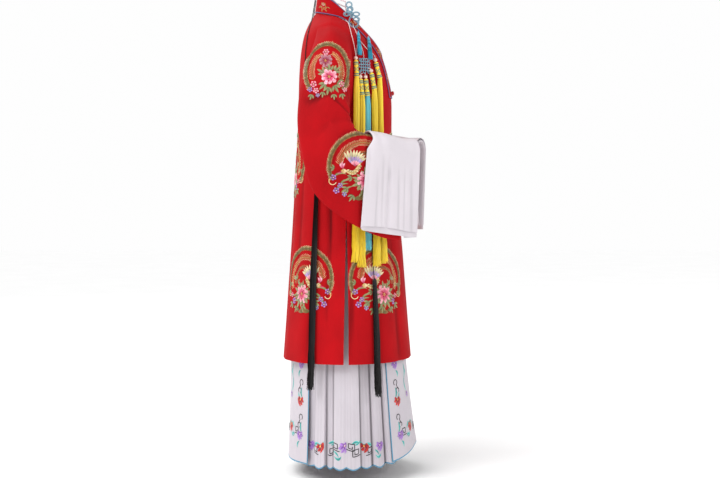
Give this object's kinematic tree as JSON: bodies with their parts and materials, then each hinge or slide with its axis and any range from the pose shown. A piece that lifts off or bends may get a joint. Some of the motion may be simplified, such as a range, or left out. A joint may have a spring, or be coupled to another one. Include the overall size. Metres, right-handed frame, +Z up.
{
  "type": "chinese opera costume",
  "caption": "Opera robe with folded white water sleeves over a pleated skirt, hung with knotted cords and long tassels, in a worn pose with nobody in it.",
  "frame": {"origin": "middle of the neck opening, level with the tops of the shoulder seams, where the costume is held up", "axes": "+Z up along the standing body, -Y the way the wearer faces, +X the wearer's left"},
  "size_m": [0.6578, 0.4501, 1.4253],
  "materials": {
    "red_crepe": "soft crepe",
    "white_silk": "thin silk",
    "skirt_silk": "soft satin",
    "white_cord": "twisted cord",
    "knot_cord": "twisted cord",
    "yellow_silk": "silk thread",
    "blue_silk": "silk thread",
    "black_silk": "silk thread"
  },
  "bodies": {
    "root": {"black_tassel_back_left": "black_silk", "black_tassel_back_right": "black_silk", "black_tassel_front_left": "black_silk", "black_tassel_front_right": "black_silk", "collar_left": "red_crepe", "collar_right": "red_crepe", "frog_button": "red_crepe", "knotwork_left": "knot_cord", "knotwork_right": "knot_cord", "neck_cord": "white_cord", "robe_back": "red_crepe", "robe_front_left": "red_crepe", "robe_front_right": "red_crepe", "skirt_back_panel": "skirt_silk", "skirt_front_panel": "skirt_silk", "skirt_pleats_left": "skirt_silk", "skirt_pleats_right": "skirt_silk", "skirt_waistband": "skirt_silk", "sleeve_left": "red_crepe", "sleeve_right": "red_crepe", "small_tassel_back_left": "blue_silk", "small_tassel_back_right": "blue_silk", "small_tassel_front_left": "blue_silk", "small_tassel_front_right": "blue_silk", "tassel_blue_left": "blue_silk", "tassel_blue_right": "blue_silk", "tassel_fourth_left": "yellow_silk", "tassel_fourth_right": "yellow_silk", "tassel_inner_left": "yellow_silk", "tassel_inner_right": "yellow_silk", "tassel_outer_left": "yellow_silk", "tassel_outer_right": "yellow_silk", "tassel_second_left": "yellow_silk", "tassel_second_right": "yellow_silk", "under_collar": "white_silk", "water_sleeve_left": "white_silk", "water_sleeve_right": "white_silk"}
  },
  "joints": []
}
